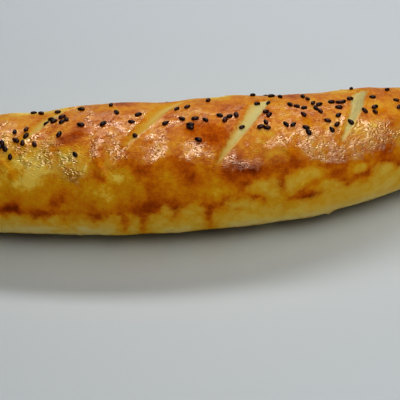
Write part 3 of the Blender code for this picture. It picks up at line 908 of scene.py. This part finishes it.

# The stretched floor of each slash, a painted highlight in cream along its far lip, and the brown that the
# tray left along the foot.
STRETCHING = (1.1 * MM, 0.13 * MM, 1.0)
MOTTLED_GOLD = 0.8
STRETCHED_GOLD = 0.3
LIP_HIGHLIGHT_STRENGTH = 0.8
cut_edge = uneven(tree, body, reach=1.0, scale=0.5, detail=3.0, roughness=0.65)
in_cut = stepped(tree, maths(tree, "ADD", attribute(tree, "cut_mm"), cut_edge), low=-0.60, high=0.80)
slash_skin = attribute(tree, "slash_skin", "Vector")
along_cut = make(tree, "ShaderNodeMapping", Vector=slash_skin, Scale=STRETCHING).outputs[0]
stretch_marks = uneven(tree, along_cut, reach=1.0, scale=1.0)
# How golden each slash floor is. Below plain dough its colour is painted shade.
gold_and_shade_share = maths(tree, "ADD", attribute(tree, "cut_gold_and_shade"), maths(tree, "MULTIPLY", middling, MOTTLED_GOLD))
gold_and_shade_share = maths(tree, "MULTIPLY_ADD", stretch_marks, STRETCHED_GOLD, gold_and_shade_share)
gold_and_shade_share = maths(tree, "MULTIPLY_ADD", gold_and_shade_share, 1 - PLAIN_GOLD, PLAIN_GOLD)
skin_colour = blended(tree, in_cut, skin_colour, colour_ramp(tree, gold_and_shade_share, SLASH_COLOURS))
# The painted highlight along the far lip of each slash.
lip_highlight_share = maths(tree, "MULTIPLY", attribute(tree, "lip_highlight"), LIP_HIGHLIGHT_STRENGTH)
skin_colour = blended(tree, lip_highlight_share, skin_colour, LIP_HIGHLIGHT_CREAM)
foot_clouds = stepped(tree, dough_clouds, low=0.3, high=1.0, to_low=0.35, to_high=1.0)
foot_share = maths(tree, "MULTIPLY", attribute(tree, "foot"), foot_clouds)
skin_colour = blended(tree, foot_share, skin_colour, FOOT_BROWN)
tree.links.new(skin_colour, group_end.inputs["Colour"])

# Dough is dull. Egg glaze is smoother, most of all where it crumpled.
DOUGH_ROUGHNESS = 0.70
GLAZE_SMOOTHING = -0.32
SHINE_SMOOTHING = -0.16
DULL_ROUGHENING = 0.36
MOTTLED_ROUGHNESS = 0.45
glazed = maths(tree, "MULTIPLY", is_washed, maths(tree, "SUBTRACT", 1.0, in_cut))
shine = maths(tree, "MULTIPLY", stepped(tree, crumple, low=0.10, high=0.55), glazed)
plain_roughness = maths(tree, "MULTIPLY_ADD", glazed, GLAZE_SMOOTHING, DOUGH_ROUGHNESS)
plain_roughness = maths(tree, "MULTIPLY_ADD", shine, SHINE_SMOOTHING, plain_roughness)
plain_roughness = maths(tree, "MULTIPLY_ADD", dulled, DULL_ROUGHENING, plain_roughness)
plain_roughness = maths(tree, "MULTIPLY_ADD", middling, MOTTLED_ROUGHNESS, plain_roughness)
rough_rim = stepped(tree, crumple, low=0.15, high=0.75, to_low=0.36, to_high=0.15)
patchy = stepped(tree, mottle(tree, body, scale=1.1), low=0.35, high=0.70, to_low=0.0, to_high=0.12)
crumpled_roughness = maths(tree, "ADD", rough_rim, patchy)
change = maths(tree, "SUBTRACT", crumpled_roughness, plain_roughness)
roughness = maths(tree, "MULTIPLY_ADD", group_start.outputs["Crumpled"], change, plain_roughness)
tree.links.new(roughness, group_end.inputs["Roughness"])

# Crumpled glaze, fine wrinkles and grain that are too small for the mesh.
WRINKLE_SLANT = math.radians(-35)
WRINKLE_STRETCH = (0.62, 1.25, 1.0)
WRINKLE_HEIGHT = 0.0009
LEAST_WRINKLING = 0.30
GRAIN_HEIGHT = 0.00014
GRAIN_STRENGTH = 0.6
stretched = make(
    tree, "ShaderNodeMapping",
    Vector=skin, Rotation=(0, 0, WRINKLE_SLANT), Scale=WRINKLE_STRETCH,
)
wrinkles = mottle(tree, stretched.outputs[0], scale=0.85, roughness=0.55, kind="RIDGED_MULTIFRACTAL")
crumple_share = maths(tree, "MULTIPLY_ADD", crumple, 1 - LEAST_WRINKLING, LEAST_WRINKLING)
wrinkles = maths(tree, "MULTIPLY", maths(tree, "MULTIPLY", wrinkles, crumple_share), glazed)
wrinkled = make(tree, "ShaderNodeBump", Height=wrinkles, Distance=WRINKLE_HEIGHT, Strength=1.0).outputs[0]
grain = mottle(tree, body, scale=2.6, detail=3.0, roughness=0.6)
grained = make(
    tree, "ShaderNodeBump",
    Height=grain, Distance=GRAIN_HEIGHT, Strength=GRAIN_STRENGTH, Normal=wrinkled,
)
tree.links.new(grained.outputs[0], group_end.inputs["Normal"])
crust_group = tree

# The finishes, from dull to shiny: how strongly each reflects, its index of refraction, and whether it is
# crumpled. The dry crust is the bare dough, the slashes and the egg that dried dull.
FINISHES = {
    "dry_crust": (0.30, 1.42, 0.0),
    "egg_washed_crust": (0.70, 1.54, 0.0),
    "wrinkled_egg_glaze": (1.00, 1.82, 1.0),
    "crumpled_egg_glaze": (1.00, 2.35, 1.0),
}
SHINE_TINT = (1.0, 0.86, 0.76, 1)
for name, (reflection, refraction, is_crumpled) in FINISHES.items():
    finish, tree, shader = new_material(name)
    surface = make(tree, "ShaderNodeGroup", {"node_tree": crust_group}, Crumpled=is_crumpled)
    tree.links.new(surface.outputs["Colour"], shader.inputs["Base Color"])
    tree.links.new(surface.outputs["Roughness"], shader.inputs["Roughness"])
    tree.links.new(surface.outputs["Normal"], shader.inputs["Normal"])
    shader.inputs["Specular IOR Level"].default_value = reflection
    shader.inputs["Specular Tint"].default_value = SHINE_TINT
    shader.inputs["IOR"].default_value = refraction
    shader.inputs["Subsurface Weight"].default_value = 0.12
    shader.inputs["Subsurface Radius"].default_value = (1.0, 0.5, 0.2)
    shader.inputs["Subsurface Scale"].default_value = 0.003
    crust_data.materials.append(finish)

# A face takes the shiniest finish that all its corners have. Tiny breaks in the glaze make the borders
# between the finishes uneven.
SHINE_MARGIN = 0.0004
WET_UP_TO = 0.6
WET_BREAKS = 0.25
DULL_DAMPING = 0.4
CRUMPLED_BREAKS = 0.12
WRINKLED_FROM = 0.16
SHINE_FROM = 0.36
broken = wander(smooth_points, size=0.0016, octaves=1, offset=6.1)
glossy = (washed > SHINE_MARGIN) & (cut < -SHINE_MARGIN)
wet = glossy & (dried_dull + low_down + WET_BREAKS * broken < WET_UP_TO)
crumpled = np.clip(crumple_depth, 0, 1) - DULL_DAMPING * dried_dull + CRUMPLED_BREAKS * broken
wrinkled = glossy & (crumpled > WRINKLED_FROM)
shining = glossy & (crumpled > SHINE_FROM)
finish_of_point = np.maximum(np.maximum(wet.astype(int), 2 * wrinkled), 3 * shining)
corners_of_face = np.empty(len(crust_data.loops), dtype=int)
crust_data.loops.foreach_get("vertex_index", corners_of_face)
first_corner = np.empty(len(crust_data.polygons), dtype=int)
crust_data.polygons.foreach_get("loop_start", first_corner)
finish_of_face = np.minimum.reduceat(finish_of_point[corners_of_face], first_corner)
crust_data.polygons.foreach_set("material_index", finish_of_face)
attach(crust_piece, "root")
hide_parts("pastry_roll")

# Black sesame seeds, strewn by hand in pinches on the wet egg. Each is a flat drop about 3.6 mm long, with
# a rounder and a more pointed end, stuck on where it fell.
SEED_COLOUR = (0.022, 0.007, 0.003, 1)
SEED_RED = (0.120, 0.022, 0.006, 1)
HULL_HEIGHT = 0.00006
HULL_STRENGTH = 0.6
SEED_SEGMENTS = 12
SEED_RINGS = 9
CLOSE_BY = 0.0012  # how far on each side of a seed the slope of the crust is taken

seeds_mesh = bmesh.new()
crust_faces = BVHTree.FromObject(crust_piece, bpy.context.evaluated_depsgraph_get())
for seed_x, seed_angle, heading, size in seed_places():
    place, where = np.array([seed_x]), np.array([seed_angle])
    along = crust(place + CLOSE_BY, where)[0] - crust(place - CLOSE_BY, where)[0]
    turned = CLOSE_BY / RADIUS
    round_it = crust(place, where + turned)[0] - crust(place, where - turned)[0]
    up = Vector(np.cross(along, round_it)).normalized()
    forward = (Matrix.Rotation(heading, 3, up) @ Vector(along)).normalized()
    side = up.cross(forward).normalized()
    start = Vector(crust(place, where)[0]) + up * SEED_LENGTH
    hit = crust_faces.ray_cast(start, -up)[0]
    centre = hit + up * SEED_HEIGHT * (0.5 - SEED_SUNK)
    turn_to = Matrix((forward, side, up)).transposed().to_4x4()
    seed_frame = Matrix.Translation(centre) @ turn_to @ Matrix.Scale(size, 4)
    ball = bmesh.ops.create_uvsphere(
        seeds_mesh, u_segments=SEED_SEGMENTS, v_segments=SEED_RINGS, radius=0.5
    )
    for vert in ball["verts"]:
        narrow = 1 - SEED_POINT * (vert.co.z + 0.5)
        x, y, z = vert.co.z, vert.co.x * narrow, vert.co.y * narrow
        vert.co = seed_frame @ Vector((x * SEED_LENGTH, y * SEED_WIDTH, z * SEED_HEIGHT))
bmesh.ops.recalc_face_normals(seeds_mesh, faces=seeds_mesh.faces)
seeds_data = bpy.data.meshes.new("sesame_seeds")
seeds_mesh.to_mesh(seeds_data)
seeds_mesh.free()
seeds_data.shade_smooth()
seeds_piece = bpy.data.objects.new("sesame_seeds", seeds_data)
bpy.context.scene.collection.objects.link(seeds_piece)

seed_material, tree, shader = new_material("black_sesame")
body = in_millimetres(tree, make(tree, "ShaderNodeTexCoord").outputs["Object"])
redder = stepped(tree, mottle(tree, body, scale=0.42), low=0.42, high=0.66)
tree.links.new(blended(tree, redder, SEED_COLOUR, SEED_RED), shader.inputs["Base Color"])
shader.inputs["Roughness"].default_value = 0.30
shader.inputs["Specular IOR Level"].default_value = 0.75
hull = mottle(tree, body, scale=1.9, detail=3.0, roughness=0.6)
rough_hull = make(tree, "ShaderNodeBump", Height=hull, Distance=HULL_HEIGHT, Strength=HULL_STRENGTH)
tree.links.new(rough_hull.outputs[0], shader.inputs["Normal"])
seeds_data.materials.append(seed_material)
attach(seeds_piece, "root")
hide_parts("pastry_roll")

# The floor is a plain pale board that the roll lies on. Five long soft lights hang in a row over it, from
# far behind to low in front, and the room is a little pale.
FLOOR_SIZE = 6.0
FLOOR_COLOUR = (0.72, 0.77, 0.80, 1)
floor_mesh = bmesh.new()
bmesh.ops.create_grid(floor_mesh, x_segments=1, y_segments=1, size=FLOOR_SIZE / 2)
floor_data = bpy.data.meshes.new("floor")
floor_mesh.to_mesh(floor_data)
floor_mesh.free()
floor = bpy.data.objects.new("floor", floor_data)
bpy.context.scene.collection.objects.link(floor)
board, tree, shader = new_material("pale_board")
shader.inputs["Base Color"].default_value = FLOOR_COLOUR
shader.inputs["Roughness"].default_value = 0.55
floor_data.materials.append(board)

# Each light: place, width, depth, power in watts, colour.
LIGHTS = {
    "far": ((0.10, 1.30, 0.45), 1.80, 0.50, 1.9, (1.0, 0.99, 0.98)),
    "behind": ((0.12, 0.60, 0.86), 1.30, 0.14, 2.9, (1.0, 0.99, 0.98)),
    "overhead": ((0.12, -0.12, 0.94), 1.30, 0.26, 1.9, (1.0, 0.98, 0.96)),
    "front": ((0.20, -0.50, 0.80), 1.30, 0.50, 1.52, (1.0, 0.99, 0.98)),
    "low": ((0.45, -0.95, 0.25), 1.30, 0.25, 0.9, (1.0, 0.98, 0.96)),
}
for name, (place, width, depth, power, colour) in LIGHTS.items():
    lamp_data = bpy.data.lights.new(name, "AREA")
    lamp_data.shape = "RECTANGLE"
    lamp_data.size = width
    lamp_data.size_y = depth
    lamp_data.energy = power
    lamp_data.color = colour
    lamp = bpy.data.objects.new(name, lamp_data)
    lamp.location = place
    lamp.rotation_euler = (-Vector(place)).to_track_quat("-Z", "Y").to_euler()
    bpy.context.scene.collection.objects.link(lamp)

ROOM_COLOUR = (0.80, 0.86, 0.92, 1)
ROOM_STRENGTH = 0.012
room = bpy.data.worlds.new("room")
room.use_nodes = True
room.node_tree.nodes["Background"].inputs["Color"].default_value = ROOM_COLOUR
room.node_tree.nodes["Background"].inputs["Strength"].default_value = ROOM_STRENGTH
bpy.context.scene.world = room
bpy.context.scene.view_settings.view_transform = "Standard"
bpy.context.scene.view_settings.look = "Very High Contrast"

# The camera looks down on the roll from its near side, close enough that both ends leave the picture.
CAMERA_DISTANCE = 0.3831
CAMERA_ELEVATION = math.radians(41.9)
CAMERA_HEADING = math.radians(8.47)
CAMERA_ROLL = math.radians(-1.2)
CAMERA_LENS_MM = 63.0
LOOK_AT = Vector((0.0072, -0.0015, 0.0))
back = Vector(
    (
        -math.sin(CAMERA_HEADING) * math.cos(CAMERA_ELEVATION),
        -math.cos(CAMERA_HEADING) * math.cos(CAMERA_ELEVATION),
        math.sin(CAMERA_ELEVATION),
    )
)
camera_data = bpy.data.cameras.new("camera")
camera_data.lens = CAMERA_LENS_MM
camera_data.clip_start = 0.01
camera = bpy.data.objects.new("camera", camera_data)
camera.location = LOOK_AT + back * CAMERA_DISTANCE
camera.rotation_mode = "QUATERNION"
camera.rotation_quaternion = (-back).to_track_quat("-Z", "Y") @ Quaternion((0, 0, 1), CAMERA_ROLL)
bpy.context.scene.collection.objects.link(camera)
bpy.context.scene.camera = camera
